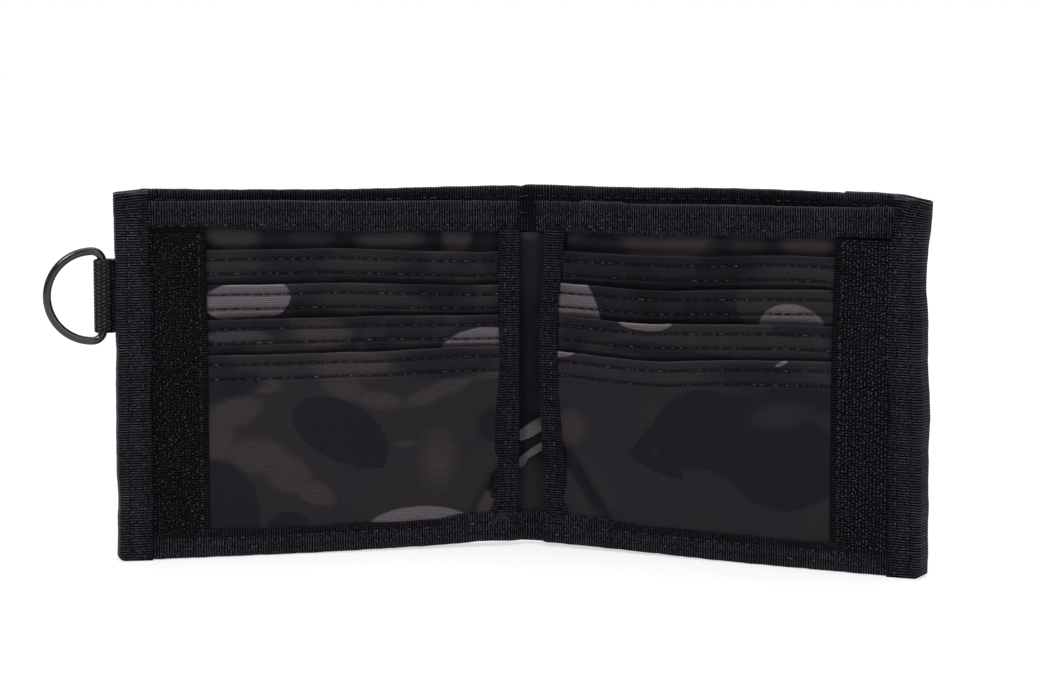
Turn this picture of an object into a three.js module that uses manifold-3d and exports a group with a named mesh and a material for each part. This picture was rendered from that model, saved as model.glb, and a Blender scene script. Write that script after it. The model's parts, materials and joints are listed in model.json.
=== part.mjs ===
// A two-fold camouflage nylon wallet standing open like a book, with its card side facing -Y.
// Each half is built in its own frame: u runs outward from its hinge, z up, w towards the card side.
import * as THREE from "three";
import { mergeVertices } from "three/addons/utils/BufferGeometryUtils.js";
import Module from "manifold-3d";

const wasm = await Module();
wasm.setup();

// Overall sizes, in millimetres.
const HEIGHT = 105; // lower edge to the top of the outer shell
const HALF_WIDTH = 117; // hinge line to the free edge of one half
const HINGE_X = 4; // each hinge line from the middle of the spine
const REST_FOLD = THREE.MathUtils.degToRad(20); // each half stands this far forward of flat
const DIVIDER_TOP = 102; // the divider is cut lower than the shell, so the note pocket shows

// Tape, cloth and the play between pieces.
const GAP = 0.3;
const TAPE = 0.5;
const CARD_CLOTH = 0.3;
const DIVIDER_CLOTH = 0.4;
const SHELL_CLOTH = 0.6;
const STRIP_THICK = 1;

// Depth of each layer's back face from the hinge plane, towards the card side.
const SHELL_W = -3.7;
const DIVIDER_W = -1.2;
const POCKET_W = 0.3;
const FRONT_TAPE_W = 2.7;
const DIVIDER_TAPE_W = [-2, 0];
const SHELL_TAPE_W = [-4.5, -2.3];
const BACK_TAPE_W = -4.5;
const FRONT_FACE_W = FRONT_TAPE_W + TAPE;
const MIDDLE_W = BACK_TAPE_W / 2; // the spine's middle layer, which lies over the origin

// Visible widths of the tapes and strips.
const EDGE_TAPE = 9.5;
const TOP_TAPE = 9;
const BOTTOM_TAPE = 7;
const CENTRE_TAPE = 7.2;
const STRIP_WIDTH = 16;
const INNER_U = 0.5; // where each half starts, outward from its hinge
const POCKET_HEMS = [87.5, 77.5, 67.5, 57.5];

// The note pocket's back wall bows out between the spine and the edge tape.
const BOW_DEPTH = 7;
const BOW_U = [4, 105];
const BOW_Z = [8, 80];
const BOW_STEPS = [30, 12];

// The ring and the webbing loop that holds it.
const RING_HEIGHT = 75.3;
const RING_OUTER = 28;
const WIRE_RADIUS = 1.2;
const ARM_LENGTH = 3;
const TAB_WIDTH = 21;
const WEBBING = 1.1;
const TAB_TAIL = 8;
const LOOP_INNER = WIRE_RADIUS + GAP;
const LOOP_OUTER = LOOP_INNER + WEBBING;
const BAR_U = HALF_WIDTH + GAP + LOOP_OUTER;
const BAR_W = BACK_TAPE_W - GAP - WEBBING;
const ROUND_STEPS = 32;

const colours = {
  shell: 0x26272b,
  divider: 0x2b2b2f,
  pocket: 0x343236,
  tape: 0x202127,
  loop: 0x151617,
  hook: 0x1b1c22,
  webbing: 0x1d1e22,
  ring: 0x2b2c30,
};

function toSolid(geometry) {
  const bare = geometry.clone();
  bare.deleteAttribute("normal");
  bare.deleteAttribute("uv");
  const merged = mergeVertices(bare, 1e-4);
  return new wasm.Manifold(
    new wasm.Mesh({
      numProp: 3,
      vertProperties: merged.attributes.position.array,
      triVerts: new Uint32Array(merged.index.array),
    }),
  );
}

function toGeometry(solid) {
  const mesh = solid.getMesh();
  const geometry = new THREE.BufferGeometry();
  geometry.setAttribute("position", new THREE.BufferAttribute(mesh.vertProperties, 3));
  geometry.setIndex(new THREE.BufferAttribute(mesh.triVerts, 1));
  geometry.computeVertexNormals();
  return geometry;
}

function smooth(value, [from, to]) {
  return THREE.MathUtils.smoothstep(value, from, to);
}

// How far the back wall stands out at a point of one half.
function bow(u, z) {
  const along = THREE.MathUtils.clamp((u - BOW_U[0]) / (BOW_U[1] - BOW_U[0]), 0, 1);
  return BOW_DEPTH * Math.sin(Math.PI * along) ** 2 * smooth(z, BOW_Z);
}

// A flat slab between two corners given as [u, z, w].
function slab(side, from, to, steps = [1, 1]) {
  const size = to.map((value, i) => value - from[i]);
  const middle = to.map((value, i) => (value + from[i]) / 2);
  const geometry = new THREE.BoxGeometry(size[0], size[2], size[1], steps[0], 1, steps[1]);
  return geometry.translate(side * middle[0], -middle[2], middle[1]);
}

// The same slab, pushed back by the bow.
function bowedSlab(side, from, to) {
  const geometry = slab(side, from, to, BOW_STEPS);
  const position = geometry.attributes.position;
  for (let i = 0; i < position.count; i += 1) {
    const back = bow(Math.abs(position.getX(i)), position.getZ(i));
    position.setY(i, position.getY(i) + back);
  }
  return geometry;
}

// A folded tape: the slab from..to with the slab of cloth it holds taken out of it.
function foldedTape(outer, inner) {
  return toGeometry(toSolid(outer).subtract(toSolid(inner)));
}

function piece(name, geometry, colour, shine = {}) {
  const material = new THREE.MeshStandardMaterial({ color: colour, roughness: 0.85, ...shine });
  const mesh = new THREE.Mesh(geometry, material);
  mesh.name = name;
  return mesh;
}

// Tape over a top edge, open downwards, between two depths.
function topTape(name, side, [u0, u1], top, [back, front], make) {
  const outer = make(side, [u0, top - TOP_TAPE, back], [u1, top, front]);
  const inner = make(
    side,
    [u0 - 1, top - TOP_TAPE - 1, back + TAPE],
    [u1 + 1, top - TAPE, front - TAPE],
  );
  return piece(name, foldedTape(outer, inner), colours.tape);
}

// Tape round the lower edge of the whole stack.
function bottomTape(name, side, [u0, u1], front) {
  const outer = slab(side, [u0, 0, BACK_TAPE_W], [u1, BOTTOM_TAPE, front]);
  const inner = slab(
    side,
    [u0 - 1, TAPE, BACK_TAPE_W + TAPE],
    [u1 + 1, BOTTOM_TAPE + 1, front - TAPE],
  );
  return piece(name, foldedTape(outer, inner), colours.tape);
}

// Tape round the free edge, over the full height.
function edgeTape(name, side) {
  const start = HALF_WIDTH - EDGE_TAPE;
  const outer = slab(side, [start, 0, BACK_TAPE_W], [HALF_WIDTH, HEIGHT, FRONT_FACE_W]);
  const inner = slab(
    side,
    [start - 1, -1, BACK_TAPE_W + TAPE],
    [HALF_WIDTH - TAPE, HEIGHT + 1, FRONT_TAPE_W],
  );
  return piece(name, foldedTape(outer, inner), colours.tape);
}

// Tape round the spine side of the card pockets.
function centreTape(name, side) {
  const low = BOTTOM_TAPE + GAP;
  const high = DIVIDER_TOP - TOP_TAPE - GAP;
  const outer = slab(side, [INNER_U, low, -TAPE], [INNER_U + CENTRE_TAPE, high, FRONT_FACE_W]);
  const inner = slab(
    side,
    [INNER_U + TAPE, low - 1, 0],
    [INNER_U + CENTRE_TAPE + 1, high + 1, FRONT_TAPE_W],
  );
  return piece(name, foldedTape(outer, inner), colours.tape);
}

function cardPocket(name, side, index) {
  const back = POCKET_W + index * (CARD_CLOTH + GAP);
  const from = [INNER_U + TAPE + GAP, TAPE + GAP, back];
  const to = [HALF_WIDTH - TAPE - GAP, POCKET_HEMS[index], back + CARD_CLOTH];
  return piece(name, slab(side, from, to), colours.pocket);
}

function fastenerStrip(name, side, colour) {
  const outerU = HALF_WIDTH - EDGE_TAPE - GAP;
  const from = [outerU - STRIP_WIDTH, BOTTOM_TAPE + GAP, FRONT_TAPE_W];
  const to = [outerU, DIVIDER_TOP - TOP_TAPE - GAP, FRONT_TAPE_W + STRIP_THICK];
  return piece(name, slab(side, from, to), colour);
}

function half(label, side) {
  const group = new THREE.Group();
  const sheetU = [INNER_U, HALF_WIDTH - TAPE - GAP];
  const tapeU = [INNER_U, HALF_WIDTH - EDGE_TAPE - GAP];
  const floor = TAPE + GAP;
  const shellTop = HEIGHT - TAPE - GAP;
  const dividerTop = DIVIDER_TOP - TAPE - GAP;
  const shell = bowedSlab(
    side,
    [sheetU[0], floor, SHELL_W],
    [sheetU[1], shellTop, SHELL_W + SHELL_CLOTH],
  );
  const divider = slab(
    side,
    [sheetU[0], floor, DIVIDER_W],
    [sheetU[1], dividerTop, DIVIDER_W + DIVIDER_CLOTH],
  );
  group.add(piece(label + "_shell", shell, colours.shell));
  group.add(piece(label + "_divider", divider, colours.divider));
  group.add(topTape(label + "_shell_top_tape", side, tapeU, HEIGHT, SHELL_TAPE_W, bowedSlab));
  group.add(topTape(label + "_divider_top_tape", side, tapeU, DIVIDER_TOP, DIVIDER_TAPE_W, slab));
  group.add(bottomTape(label + "_bottom_tape", side, tapeU, FRONT_FACE_W));
  group.add(edgeTape(label + "_edge_tape", side));
  group.add(centreTape(label + "_centre_tape", side));
  POCKET_HEMS.forEach((hem, i) => {
    group.add(cardPocket(label + "_card_pocket_" + (i + 1), side, i));
  });
  group.position.set(side * HINGE_X, MIDDLE_W, 0);
  group.rotation.z = -side * REST_FOLD;
  return group;
}

function spine() {
  const group = new THREE.Group();
  const reach = [-(HINGE_X - GAP), HINGE_X - GAP];
  const floor = TAPE + GAP;
  const shell = slab(
    1,
    [reach[0], floor, SHELL_W],
    [reach[1], HEIGHT - floor, SHELL_W + SHELL_CLOTH],
  );
  const divider = slab(
    1,
    [reach[0], floor, DIVIDER_W],
    [reach[1], DIVIDER_TOP - floor, DIVIDER_W + DIVIDER_CLOTH],
  );
  group.add(piece("spine_shell", shell, colours.shell));
  group.add(piece("spine_divider", divider, colours.divider));
  group.add(topTape("spine_shell_top_tape", 1, reach, HEIGHT, SHELL_TAPE_W, slab));
  group.add(topTape("spine_divider_top_tape", 1, reach, DIVIDER_TOP, DIVIDER_TAPE_W, slab));
  group.add(bottomTape("spine_bottom_tape", 1, reach, 0));
  group.position.y = MIDDLE_W;
  return group;
}

// A round bar standing along z.
function bar(radius, length, x, y) {
  const geometry = new THREE.CylinderGeometry(radius, radius, length, ROUND_STEPS);
  return geometry.rotateX(Math.PI / 2).translate(x, y, RING_HEIGHT);
}

// Webbing folded round the ring's bar, with its tail flat on the back of the edge tape.
function ringTab(side) {
  const x = side * BAR_U;
  const tail = slab(
    side,
    [HALF_WIDTH - TAB_TAIL, RING_HEIGHT - TAB_WIDTH / 2, BAR_W - WEBBING],
    [BAR_U, RING_HEIGHT + TAB_WIDTH / 2, BAR_W + WEBBING],
  );
  const loop = toSolid(bar(LOOP_OUTER, TAB_WIDTH, x, -BAR_W)).add(toSolid(tail));
  const folded = loop.subtract(toSolid(bar(LOOP_INNER, TAB_WIDTH + 2, x, -BAR_W)));
  return piece("ring_tab", toGeometry(folded), colours.webbing);
}

// A D of round wire: a straight bar, two short arms and a half circle.
function dRing(side) {
  const radius = RING_OUTER / 2 - WIRE_RADIUS;
  const bowX = side * ARM_LENGTH;
  const wire = new THREE.TorusGeometry(radius, WIRE_RADIUS, ROUND_STEPS / 2, 2 * ROUND_STEPS);
  const outerHalf = new THREE.BoxGeometry(RING_OUTER, RING_OUTER, RING_OUTER);
  const turned = wire.rotateX(Math.PI / 2).translate(bowX, 0, 0);
  const keep = outerHalf.translate(bowX + (side * RING_OUTER) / 2, 0, 0);
  let ring = toSolid(turned).intersect(toSolid(keep));
  const upright = new THREE.CylinderGeometry(WIRE_RADIUS, WIRE_RADIUS, 2 * radius, ROUND_STEPS);
  ring = ring.add(toSolid(upright.rotateX(Math.PI / 2)));
  for (const end of [-radius, radius]) {
    const corner = new THREE.SphereGeometry(WIRE_RADIUS, ROUND_STEPS / 2, ROUND_STEPS / 2);
    const arm = new THREE.CylinderGeometry(WIRE_RADIUS, WIRE_RADIUS, ARM_LENGTH, ROUND_STEPS);
    const laid = arm.rotateZ(Math.PI / 2).translate(bowX / 2, 0, end);
    ring = ring.add(toSolid(corner.translate(0, 0, end))).add(toSolid(laid));
  }
  const geometry = toGeometry(ring).translate(side * BAR_U, -BAR_W, RING_HEIGHT);
  return piece("d_ring", geometry, colours.ring, { roughness: 0.2, metalness: 0.9 });
}

const wallet = new THREE.Group();
wallet.name = "bifold_wallet";
const leftHalf = half("left", -1);
const rightHalf = half("right", 1);
leftHalf.add(fastenerStrip("left_loop_strip", -1, colours.loop));
leftHalf.add(ringTab(-1));
leftHalf.add(dRing(-1));
rightHalf.add(fastenerStrip("right_hook_strip", 1, colours.hook));
wallet.add(leftHalf, rightHalf, spine());

export default wallet;
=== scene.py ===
# Camouflage nylon bifold wallet, standing open with its card side facing -Y.
# Pieces are worked out in flat millimetres: s outward from the middle of the spine, z up,
# w towards the card side. place() folds that sheet round the hinges and turns it to metres.
import json
import math

import bpy
import numpy as np
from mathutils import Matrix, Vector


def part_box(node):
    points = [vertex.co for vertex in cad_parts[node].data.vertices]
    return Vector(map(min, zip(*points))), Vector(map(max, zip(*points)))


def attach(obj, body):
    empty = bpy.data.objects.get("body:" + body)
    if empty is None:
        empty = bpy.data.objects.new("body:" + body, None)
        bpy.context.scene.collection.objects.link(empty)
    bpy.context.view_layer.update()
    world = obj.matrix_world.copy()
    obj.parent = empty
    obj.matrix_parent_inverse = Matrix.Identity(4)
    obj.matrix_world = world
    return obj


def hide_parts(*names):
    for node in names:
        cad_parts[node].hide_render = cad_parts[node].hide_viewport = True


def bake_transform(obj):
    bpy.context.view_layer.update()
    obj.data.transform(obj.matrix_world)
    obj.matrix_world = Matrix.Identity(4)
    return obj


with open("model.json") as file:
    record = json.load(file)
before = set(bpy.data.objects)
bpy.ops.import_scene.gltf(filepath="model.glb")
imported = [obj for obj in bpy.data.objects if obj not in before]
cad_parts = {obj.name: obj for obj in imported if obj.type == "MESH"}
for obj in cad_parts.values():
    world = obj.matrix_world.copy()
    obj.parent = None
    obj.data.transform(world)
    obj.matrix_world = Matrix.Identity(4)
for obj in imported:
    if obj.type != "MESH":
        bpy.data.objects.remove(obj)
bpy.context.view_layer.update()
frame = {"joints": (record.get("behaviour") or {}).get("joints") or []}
rng = np.random.default_rng(11)
print("frame loaded")

# camera, light and floor
view = {"azimuth": 6.7, "distance": 923.0, "height": 166.0, "tilt": 6.67, "turn": 0.23, "lens": 110.0}
studio = {"backdrop": 1.0, "sky": 0.36, "key": 1.4, "fill": 0.8, "top": 1.5, "behind": 1.3,
          "floor": "#a6a6a7", "glow": 0.62}


def linear(code):
    # sRGB hex to linear, one channel at a time
    values = [int(code[i:i + 2], 16) / 255 for i in (1, 3, 5)]
    return [v / 12.92 if v <= 0.04045 else ((v + 0.055) / 1.055) ** 2.4 for v in values] + [1.0]


def feed(tree, node, inputs):
    # each input takes a value, or a link from the socket that feeds it
    for key, value in inputs.items():
        if isinstance(value, bpy.types.NodeSocket):
            tree.links.new(value, node.inputs[key])
        else:
            node.inputs[key].default_value = value


def addNode(tree, kind, inputs=None, **settings):
    # one shader node with its settings and what feeds it
    node = tree.nodes.new("ShaderNode" + kind)
    for key, value in settings.items():
        setattr(node, key, value)
    feed(tree, node, inputs or {})
    return node


def makeCamera():
    data = bpy.data.cameras.new("camera")
    data.lens, data.sensor_width = view["lens"], 36.0
    data.clip_start, data.clip_end = 0.01, 20.0
    camera = bpy.data.objects.new("camera", data)
    turn = math.radians(view["azimuth"])
    reach = view["distance"] / 1000
    camera.location = (math.sin(turn) * reach, -math.cos(turn) * reach, view["height"] / 1000)
    aim = math.radians(view["azimuth"] + view["turn"])
    camera.rotation_euler = (math.radians(90 - view["tilt"]), 0, aim)
    bpy.context.scene.collection.objects.link(camera)
    bpy.context.scene.camera = camera


def makeLight(name, strength, spread, towards):
    # a far softbox seen as a disc "spread" degrees wide, in the direction "towards"
    data = bpy.data.lights.new(name, "SUN")
    data.energy, data.angle = strength, math.radians(spread)
    lamp = bpy.data.objects.new(name, data)
    x, y, z = towards
    lamp.rotation_euler = (math.atan2(math.hypot(x, y), z), 0, math.atan2(x, -y))
    bpy.context.scene.collection.objects.link(lamp)


def makeStudio():
    # a white sweep behind, dimmer all round than it looks so that the lamps shape the cloth
    world = bpy.data.worlds.new("studio")
    world.use_nodes = True
    tree = world.node_tree
    seen = addNode(tree, "LightPath")
    glow = addNode(tree, "MapRange", {"Value": seen.outputs["Is Camera Ray"],
                                      "To Min": studio["sky"], "To Max": studio["backdrop"]})
    feed(tree, tree.nodes["Background"], {"Strength": glow.outputs[0], "Color": (1, 1, 1, 1)})
    bpy.context.scene.world = world
    bpy.context.scene.view_settings.view_transform = "Standard"
    makeLight("key", studio["key"], 20, (-0.3, -0.7, 0.85))
    makeLight("fill", studio["fill"], 50, (0.8, -0.7, 0.45))
    makeLight("top", studio["top"], 60, (0.1, 0.15, 1.0))
    makeLight("behind", studio["behind"], 60, (-0.35, 0.9, 0.4))
    floor = bpy.data.meshes.new("floor")
    reach = 4.0
    corners = [(-reach, -reach, 0), (reach, -reach, 0), (reach, reach, 0), (-reach, reach, 0)]
    floor.from_pydata(corners, [], [(0, 1, 2, 3)])
    paint = bpy.data.materials.new("studio_floor")  # white board lit from below: no gloss, hardly a shadow
    paint.use_nodes = True
    feed(paint.node_tree, paint.node_tree.nodes["Principled BSDF"],
         {"Base Color": linear(studio["floor"]), "Roughness": 0.9, "Specular IOR Level": 0.1,
          "Emission Color": (1, 1, 1, 1), "Emission Strength": studio["glow"]})
    floor.materials.append(paint)
    board = bpy.data.objects.new("studio_floor", floor)
    bpy.context.scene.collection.objects.link(board)


makeCamera()
makeStudio()
print("camera and studio set")

# the folded sheet
sides = {-1: "left", 1: "right"}
joints = {j["name"]: j for j in frame["joints"]}
hinge = [1000 * v for v in joints["right_fold"]["pos_m"]]
wallet = {
    "height": 1000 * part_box("left_edge_tape")[1].z,
    "hingeX": hinge[0], "hingeY": hinge[1], "halfWidth": 117.0,
    "restFold": 20.0, "bendFrom": 1.2, "bendTo": 6.8,  # the cloth turns over this much of s
    "edgeTape": 9.5, "stripWidth": {-1: 16.0, 1: 17.0}, "centreTape": 5.3, "innerEdge": 0.5,
    "clothStop": 3.0,  # how far inside the edge tape's fold the cloth ends
    "clothLow": 0.8, "clothDrop": 1.3,  # and inside the folds of the bottom and top tapes
    "bowDepth": 7.0, "bowFrom": 4.0, "bowTo": 105.0,  # the note pocket's wall, outward from the hinge
}
edgeS = wallet["hingeX"] + wallet["halfWidth"]
tuckS = edgeS - wallet["edgeTape"]
stripS = {side: tuckS - 0.3 - wallet["stripWidth"][side] for side in (-1, 1)}
centreS = wallet["hingeX"] + wallet["innerEdge"]
cardS = centreS + wallet["centreTape"]
clothS = edgeS - wallet["clothStop"]
shellW, dividerW, pocketW, backW, frontW = -3.7, -1.2, 0.3, -4.5, 3.2  # back face of each layer


def smooth(value, start, end):
    # 0 before start, 1 after end, 3t^2 - 2t^3 between
    t = np.clip((np.asarray(value, float) - start) / (end - start), 0, 1)
    return t * t * (3 - 2 * t)


def bump(value, middle, width):
    # a bell, exp of minus the squared distance over width
    return np.exp(-(((np.asarray(value, float) - middle) / width) ** 2))


bendS = np.linspace(-1, 169, 6801)
bendAngle = math.radians(wallet["restFold"]) * smooth(bendS, wallet["bendFrom"], wallet["bendTo"])
bendStep = bendS[1] - bendS[0]
bendX = bendS[0] + np.concatenate([[0], np.cumsum(np.cos((bendAngle[1:] + bendAngle[:-1]) / 2)) * bendStep])
bendY = -np.concatenate([[0], np.cumsum(np.sin((bendAngle[1:] + bendAngle[:-1]) / 2)) * bendStep])
overlap = 0.12  # the two halves' cloth runs this far past the middle, the left one a hair in front


def place(side, s, z, w):
    # the middle line at s, plus w along its normal (-sin, -cos), mirrored on the left
    s, z, w = np.broadcast_arrays(*(np.asarray(v, float) for v in (s, z, w)))
    angle = np.interp(s, bendS, bendAngle)
    x = np.interp(s, bendS, bendX) - w * np.sin(angle)
    y = np.interp(s, bendS, bendY) - w * np.cos(angle) + wallet["hingeY"]
    return np.stack([side * x, y, z], -1) / 1000


def bow(s, z):
    # sin squared along the half, fading towards the foot: how far the note pocket's wall stands back
    along = (np.asarray(s) - wallet["hingeX"] - wallet["bowFrom"]) / (wallet["bowTo"] - wallet["bowFrom"])
    along = np.clip(along, 0, 1)
    return wallet["bowDepth"] * np.sin(math.pi * along) ** 2 * smooth(z, 8, 80)


def dividerTop(side, s):
    # the divider is cut lowest at the spine
    reach = np.clip(np.asarray(s, float) / edgeS, 0, 1) ** (1.0 if side < 0 else 1.5)
    return 100.7 + 2.0 * reach + 0.12 * np.sin(np.asarray(s) / 9.0 + side)


def shellTop(side, s):
    # the outer wall's top: it sags half way out on the left, where it also has a nick by the spine
    s = np.asarray(s, float)
    if side > 0:
        return (wallet["height"] + 0.5 - 0.2 * bump(s, 28, 20) + 0.35 * smooth(s, 35, 90)
                - 0.5 * smooth(s, 104, 118))
    return (wallet["height"] + 0.5 - 0.9 * bump(s, 55, 28) - 0.2 * smooth(s, 2.0, 4.5)
            + 0.55 * smooth(s, 85, 112) - 0.35 * bump(s, 3.2, 0.9))


def seam(side, s):
    # the left half's cloth lies a hair in front where the halves meet
    return 0.03 * (1 - smooth(s, 0.2, 1.5)) if side < 0 else 0 * np.asarray(s, float)


def footLine(side, s):
    # the foot stands on its outer ends and clears the floor a little towards the spine
    return 0.03 + 0.9 * (1 - smooth(s, 8, 75)) + (0.5 * bump(s, 14, 9) if side < 0 else 0)


def valley(side, s):
    # the pleat where the divider's top is pinched back over the spine, mostly on the left
    x = side * np.asarray(s, float)
    return smooth(x, -4.9, -2.7) * (1 - smooth(x, -0.4, 2.0))


def stackFront(z):
    # front face of the tapes over the pockets: thinner towards the top, where fewer layers lie
    return frontW - 1.9 * smooth(z, 55, 94)


def ripple(value, seed, length):
    # three sines of unrelated lengths and seeded phases, about -1 to 1
    phase = np.random.default_rng(seed).uniform(0, 2 * math.pi, 3)
    value = np.asarray(value, float) * 2 * math.pi / length
    return (np.sin(value + phase[0]) + 0.6 * np.sin(1.73 * value + phase[1])
            + 0.4 * np.sin(2.91 * value + phase[2])) / 2


def ringQuads(stations, around, closedPath=False):
    # neighbours on the grid, the profile wrapping round; an open path's ends are shut by pairing
    # point j with its opposite, which needs an even profile
    i = np.arange(stations if closedPath else stations - 1)[:, None]
    j = np.arange(around)[None, :]
    nextI, nextJ = (i + 1) % stations, (j + 1) % around
    sides = np.stack([i * around + j, nextI * around + j, nextI * around + nextJ, i * around + nextJ], -1)
    quads = [sides.reshape(-1, 4)]
    if not closedPath:
        k = np.arange(around // 2 - 1)
        cap = np.stack([k, k + 1, around - 2 - k, around - 1 - k], -1)
        quads += [cap, cap[:, ::-1] + (stations - 1) * around]
    quads = np.concatenate(quads)
    rounded = np.ptp(quads // around, axis=1) > 0  # the flat ends keep hard edges
    return quads, rounded


def addPiece(name, points, grid, uv, material, paintedLight=None):
    # points (copies, n, 3): each copy is one closed shell with the same quads, turned to face out
    quads, rounded = grid
    points = np.asarray(points, float).reshape(-1, quads.max() + 1, 3)
    copies, size = points.shape[:2]
    a, b, c, d = (points[0][quads[:, k]] for k in range(4))
    centre = points[0].mean(0)
    twice = np.einsum("ij,ij->i", a - centre, np.cross(b - centre, c - centre))
    twice = twice + np.einsum("ij,ij->i", a - centre, np.cross(c - centre, d - centre))
    if twice.sum() < 0:
        quads = quads[:, ::-1]
    allQuads = (quads[None] + size * np.arange(copies)[:, None, None]).reshape(-1)
    mesh = bpy.data.meshes.new(name)
    mesh.vertices.add(copies * size)
    mesh.vertices.foreach_set("co", points.astype(np.float32).ravel())
    mesh.loops.add(len(allQuads))
    mesh.loops.foreach_set("vertex_index", allQuads.astype(np.int32))
    mesh.polygons.add(len(allQuads) // 4)
    mesh.polygons.foreach_set("loop_start", np.arange(0, len(allQuads), 4, dtype=np.int32))
    mesh.update(calc_edges=True)
    mesh.polygons.foreach_set("use_smooth", np.tile(rounded, copies))
    flat = np.broadcast_to(np.asarray(uv, float).reshape(-1, 2) if np.size(uv) != 2 else uv,
                           (copies * size, 2))
    layer = mesh.uv_layers.new(name="flat")
    layer.data.foreach_set("uv", flat[allQuads].astype(np.float32).ravel())
    if paintedLight is not None:  # painted light at each point: above 1 a painted highlight, below 1 painted shade; 1 leaves the ink or thread as it is
        raised = mesh.attributes.new("paintedLight", "FLOAT", "POINT")
        raised.data.foreach_set("value", np.asarray(paintedLight, np.float32).ravel())
    mesh.materials.append(material)
    piece = bpy.data.objects.new(name, mesh)
    bpy.context.scene.collection.objects.link(piece)
    return piece


def foldWith(piece):
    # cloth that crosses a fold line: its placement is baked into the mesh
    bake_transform(piece)


def rideHalf(piece, side):
    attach(piece, sides[side] + "_half")


# materials
def newMaterial(name):
    material = bpy.data.materials.new(name)
    material.use_nodes = True
    return material, material.node_tree, material.node_tree.nodes["Principled BSDF"]


def threadLines(tree, millimetres, pitchMm, axis):
    # a sine along one axis of the piece's own flat map, one wave per thread
    split = addNode(tree, "SeparateXYZ", {0: millimetres})
    turned = addNode(tree, "Math", {0: split.outputs[axis], 1: 2 * math.pi / pitchMm},
                     operation="MULTIPLY")
    return addNode(tree, "Math", {0: turned.outputs[0]}, operation="SINE").outputs[0]


def flatMillimetres(tree):
    flat = addNode(tree, "UVMap", uv_map="flat")
    return addNode(tree, "Mapping", {"Vector": flat.outputs[0], "Scale": (100, 100, 1)}).outputs[0]


camo = {
    "brown": "#302b2e", "mid": "#232124", "plum": "#232025", "olive": "#232222", "dark": "#19181d",
    "black": "#131216", "light": "#514b50",
    "ribMm": 0.6,  # the real ribs are about 0.45 mm apart, drawn a little coarser so they show
    "wander": 0.9,  # mm that a patch's rim strays
}


def camoNylon(name, seed, ground, prints=()):
    # printed oxford nylon: matt, fine cross ribs that show most in the paler inks, dark soft clouds
    # with a few crisp patches. A patch is a smooth union of turned ellipses (x, z, rx, rz, turn) in mm.
    material, tree, shader = newMaterial(name)
    mm = flatMillimetres(tree)
    moved = addNode(tree, "Mapping", {"Vector": mm, "Location": (13.7 * seed, 41.3 * seed, seed)})
    clouds = addNode(tree, "TexNoise", {"Vector": moved.outputs[0], "Scale": 0.055, "Detail": 2.0,
                                        "Roughness": 0.45, "Distortion": 0.4})
    tone = addNode(tree, "ValToRGB", {0: clouds.outputs[0]})
    stops = tone.color_ramp.elements
    stops[0].position, stops[0].color = 0.40, linear(camo[ground[0]])
    stops[1].position, stops[1].color = 0.60, linear(camo[ground[2]])
    stops.new(0.5).color = linear(camo[ground[1]])
    colour = tone.outputs[0]
    wobble = addNode(tree, "TexNoise", {"Vector": moved.outputs[0], "Scale": 0.09, "Detail": 1.0})
    shifted = addNode(tree, "VectorMath", {0: wobble.outputs["Color"], 1: (0.5, 0.5, 0.5)},
                      operation="SUBTRACT")
    strayed = addNode(tree, "VectorMath", {0: shifted.outputs[0], 1: (camo["wander"],) * 3, 2: mm},
                      operation="MULTIPLY_ADD")
    for ink, softness, lobes in prints:
        nearest = None
        for x, z, rx, rz, turn in lobes:
            oval = addNode(tree, "Mapping",
                           {"Vector": strayed.outputs[0], "Location": (x, z, 0), "Scale": (rx, rz, 1),
                            "Rotation": (0, 0, math.radians(turn))}, vector_type="TEXTURE")
            length = addNode(tree, "VectorMath", {0: oval.outputs[0]}, operation="LENGTH")
            reach = length.outputs["Value"]
            nearest = reach if nearest is None else addNode(
                tree, "Math", {0: nearest, 1: reach, 2: 0.12}, operation="SMOOTH_MIN").outputs[0]
        inside = addNode(tree, "MapRange", {"Value": nearest, "From Min": 1 + softness,
                                            "From Max": 1 - softness})
        colour = addNode(tree, "Mix", {"Factor": inside.outputs[0], 6: colour, 7: linear(camo[ink])},
                         data_type="RGBA").outputs[2]
    ribs = threadLines(tree, mm, camo["ribMm"], 1)
    threads = threadLines(tree, mm, camo["ribMm"], 0)
    weave = addNode(tree, "Math", {0: threads, 1: 0.3, 2: ribs}, operation="MULTIPLY_ADD")
    fleck = addNode(tree, "TexNoise", {"Vector": mm, "Scale": 1.4, "Detail": 2.0})
    paleness = addNode(tree, "RGBToBW", {0: colour})
    contrast = addNode(tree, "MapRange", {"Value": paleness.outputs[0], "From Min": 0.011,
                                          "From Max": 0.024, "To Min": 0.06, "To Max": 0.3})
    thready = addNode(tree, "Math", {0: weave.outputs[0], 1: contrast.outputs[0], 2: 1.0},
                      operation="MULTIPLY_ADD")
    specks = addNode(tree, "MapRange", {"Value": fleck.outputs[0], "From Min": 0.25, "From Max": 0.75,
                                        "To Min": 0.85, "To Max": 1.15})
    level = addNode(tree, "Math", {0: thready.outputs[0], 1: specks.outputs[0]}, operation="MULTIPLY")
    # the attribute scales the ink: painted highlight along the hem edges and puckers, painted shade round
    # needle holes and in the gap over the next hem
    wearAndPaintedLight = addNode(tree, "Attribute", attribute_name="paintedLight")
    level = addNode(tree, "Math", {0: level.outputs[0], 1: wearAndPaintedLight.outputs["Fac"]}, operation="MULTIPLY")
    lit = addNode(tree, "VectorMath", {0: colour, "Scale": level.outputs[0]}, operation="SCALE")
    relief = addNode(tree, "Bump", {"Height": weave.outputs[0], "Strength": 0.4, "Distance": 0.00005})
    feed(tree, shader, {"Base Color": lit.outputs[0], "Normal": relief.outputs[0], "Roughness": 0.7,
                        "Specular IOR Level": 0.05, "Sheen Weight": 0.01, "Sheen Roughness": 0.5})
    return material


tapeRib = 0.75  # mm from rib to rib of the grosgrain


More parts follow.
